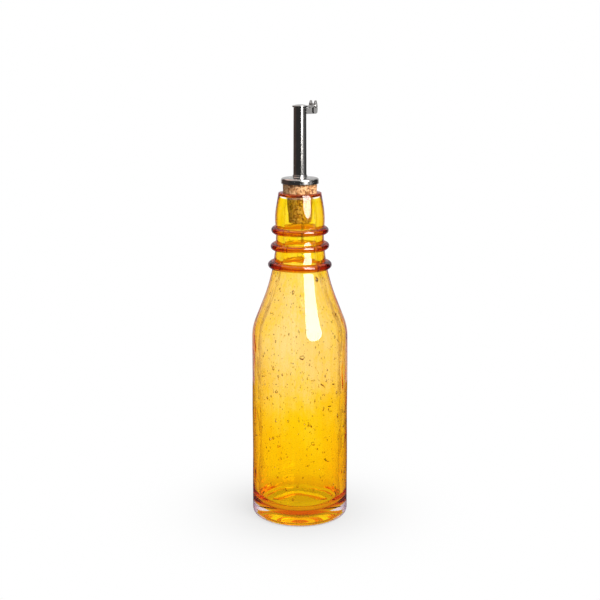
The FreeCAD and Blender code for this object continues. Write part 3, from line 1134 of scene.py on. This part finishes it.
@dataclass(frozen=True)
class Studio:
    """Camera, floor, lamps and what the steel and the glass mirror."""

    azimuth: float = -35.0
    pitch: float = 12.0
    distance: float = 0.764854
    aim: float = 0.149766
    lens: float = 68.04
    sensor: float = 36.0
    shift: Pair = (0.0001667, 0.0008333)
    floor_radius: float = 0.34
    floor_drop: float = 0.0004
    floor_points: int = 96
    floor_mirrored: float = 0.06
    # painted shadow: within about this reach of the bottle the floor glows at only this share of
    # its light
    painted_shade_reach: float = 0.055
    painted_shade_glow: float = 0.50
    paper: Colour = (0.235, 0.235, 0.235)
    behind: float = 1.14
    band_turn: float = 33.0
    band_width: Pair = (9.0, 6.0)
    band_top: Pair = (45.0, 30.0)
    band_dark: float = 0.12
    softbox_through: float = 4.0
    ambient: Colour = (0.29, 0.29, 0.29)
    softbox: Softbox = Softbox()
    room: Room = Room()
    lamps: tuple[Lamp, ...] = (
        Lamp("key_lamp", 40.0, 38.0, 1.1, 0.6, 18.5),
        Lamp("top_lamp", -20.0, 80.0, 1.0, 0.9, 2.5),
        Lamp("fill_lamp", -70.0, 25.0, 1.2, 0.6, 0.8),
    )
    bounces: int = 40
    glossy_bounces: int = 24
    transparent_bounces: int = 64

    def towards_camera(self, turn: float = 0.0, rise: float | None = None) -> Vector:
        """A direction from the bottle, turned right from the camera and raised, in degrees."""
        azimuth = math.radians(self.azimuth + turn)
        elevation = math.radians(self.pitch if rise is None else rise)
        return Vector((math.sin(azimuth) * math.cos(elevation),
                       -math.cos(azimuth) * math.cos(elevation), math.sin(elevation)))

    def aimed(self, data: bpy.types.ID, away: Vector, reach: float) -> Piece:
        """A camera or lamp that looks at the bottle's middle.

        Args:
            data: what it is.
            away: the way to it from the bottle's middle.
            reach: how far.

        Returns:
            The object, named as its data.
        """
        made = new_object(data.name, data)
        made.location = Vector((0, 0, self.aim)) + away * reach
        made.rotation_euler = away.to_track_quat("Z", "Y").to_euler()
        return made

    def camera(self) -> None:
        """The camera, above the bottle's middle and looking a little down."""
        data = bpy.data.cameras.new("camera")
        data.lens = self.lens
        data.sensor_width = self.sensor
        data.shift_x, data.shift_y = self.shift
        bpy.context.scene.camera = self.aimed(data, self.towards_camera(), self.distance)

    def floor_disc(self) -> Piece:
        """The floor's mesh, one flat face."""
        turn = np.linspace(0, 2 * math.pi, self.floor_points, endpoint=False)
        rim = np.stack([np.cos(turn), np.sin(turn), np.zeros_like(turn)], -1)
        return mesh_object("floor", rim * self.floor_radius / MM, [list(range(len(turn)))])

    def floor_finish(self) -> Material:
        """Paper that takes the bottle's real shadow, under a painted shadow pool where its own
        light is dimmed near the bottle, and plain white light further out.
        """
        material, tree = new_material("floor_white")
        # painted shadow: a pool round the bottle where the floor's own light is dimmed, added to
        # the real shadow on the paper
        spread = tree.vector("LENGTH", tree.place(), output="Value") / self.painted_shade_reach
        outside = 1.0 - tree.maths("EXPONENT", spread * spread * -1.0)
        through = tree.path("Is Transmission Ray")
        seen = tree.maths("MAXIMUM", tree.path("Is Camera Ray"), tree.maths(
            "MAXIMUM", tree.path("Is Glossy Ray") * self.floor_mirrored, through))
        light = (1.0 + through * (self.behind - 1.0)) * seen
        near = tree.shader("ShaderNodeEmission",
                           {"Color": WHITE, "Strength": light * self.painted_shade_glow})
        far = tree.shader("ShaderNodeEmission", {"Color": WHITE, "Strength": light})
        paper = tree.shader("ShaderNodeBsdfDiffuse", {"Color": self.paper})
        paper_under_painted_shade = tree.shader("ShaderNodeAddShader", {0: near, 1: paper})
        tree.output(tree.mix_shader(outside, paper_under_painted_shade, far))
        return material

    def floor(self) -> None:
        """A white disc that keeps the bottle's shadow and a painted shadow pool round the bottle,
        and fades into the white round it.
        """
        disc = self.floor_disc()
        disc.location.z = -self.floor_drop
        disc.data.materials.append(self.floor_finish())

    def angles(self, tree: Tree) -> tuple[Sock, Sock]:
        """How far a ray's way is turned right from the camera, and its rise, in degrees."""
        way = Sock(tree, tree.node("ShaderNodeTexCoord").outputs["Generated"])
        forward, across, up = (
            tree.vector("DOT_PRODUCT", way, tuple(axis), output="Value")
            for axis in (self.towards_camera(0.0, 0.0), self.towards_camera(90.0, 0.0), (0, 0, 1)))
        degrees = 180 / math.pi
        return (tree.maths("ARCTAN2", across, forward) * degrees,
                tree.maths("ARCSINE", up) * degrees)

    def world(self) -> None:
        """White to the camera, and other light to what mirrors, bends or scatters it."""
        world = bpy.data.worlds.new("studio")
        bpy.context.scene.world = world
        tree = Tree(world)
        turn, rise = self.angles(tree)
        off = self.softbox.off(tree, turn, rise)
        mirrored = tree.vector("ADD", self.room.light(tree, turn, rise),
                               self.softbox.glow(tree, off))
        sides = abs(abs(turn) - 90.0)
        bands = abs(sides - self.band_turn).smooth(*self.band_width) * rise.smooth(*self.band_top)
        through = (self.behind - bands * self.band_dark
                   + off.smooth(*self.softbox.edge) * self.softbox_through)
        scattered = tree.maths("MINIMUM", tree.path("Diffuse Depth"), 1.0)

        seen = tree.mix(tree.path("Is Glossy Ray"), self.ambient, mirrored)
        seen = tree.mix(tree.path("Is Transmission Ray"), seen, tree.scaled(WHITE, through))
        seen = tree.mix(scattered, seen, self.ambient)
        seen = tree.mix(tree.path("Is Camera Ray"), seen, WHITE)
        tree.output(tree.shader("ShaderNodeBackground", {"Color": seen, "Strength": 1.0}),
                    world=True)
        world.cycles.sampling_method = "NONE"

    def light(self, lamp: Lamp) -> None:
        """Sets up a lamp that lights the pieces but isn't mirrored.

        Args:
            lamp: its sizes and place.
        """
        data = bpy.data.lights.new(lamp.name, "AREA")
        data.shape = "SQUARE"
        data.size = lamp.size
        data.energy = lamp.power
        made = self.aimed(data, self.towards_camera(lamp.turn, lamp.rise), lamp.reach)
        made.visible_glossy = False
        made.visible_transmission = False
        made.visible_camera = False

    def build(self) -> None:
        """Sets the whole studio."""
        scene = bpy.context.scene
        scene.view_settings.view_transform = "Standard"
        scene.cycles.max_bounces = self.bounces
        scene.cycles.transmission_bounces = self.bounces
        scene.cycles.glossy_bounces = self.glossy_bounces
        scene.cycles.transparent_max_bounces = self.transparent_bounces
        self.camera()
        self.floor()
        self.world()
        for lamp in self.lamps:
            self.light(lamp)


def main() -> None:
    """Builds the pieces in order and reports each."""
    logging.basicConfig(level=logging.INFO, format="%(name)s: %(message)s")
    Studio().build()
    for assembly in (Bottle(), Pourer()):
        for piece in assembly.build():
            LOG.info("%s: %d faces", piece.name, len(piece.data.polygons))


if __name__ == "__main__":
    main()
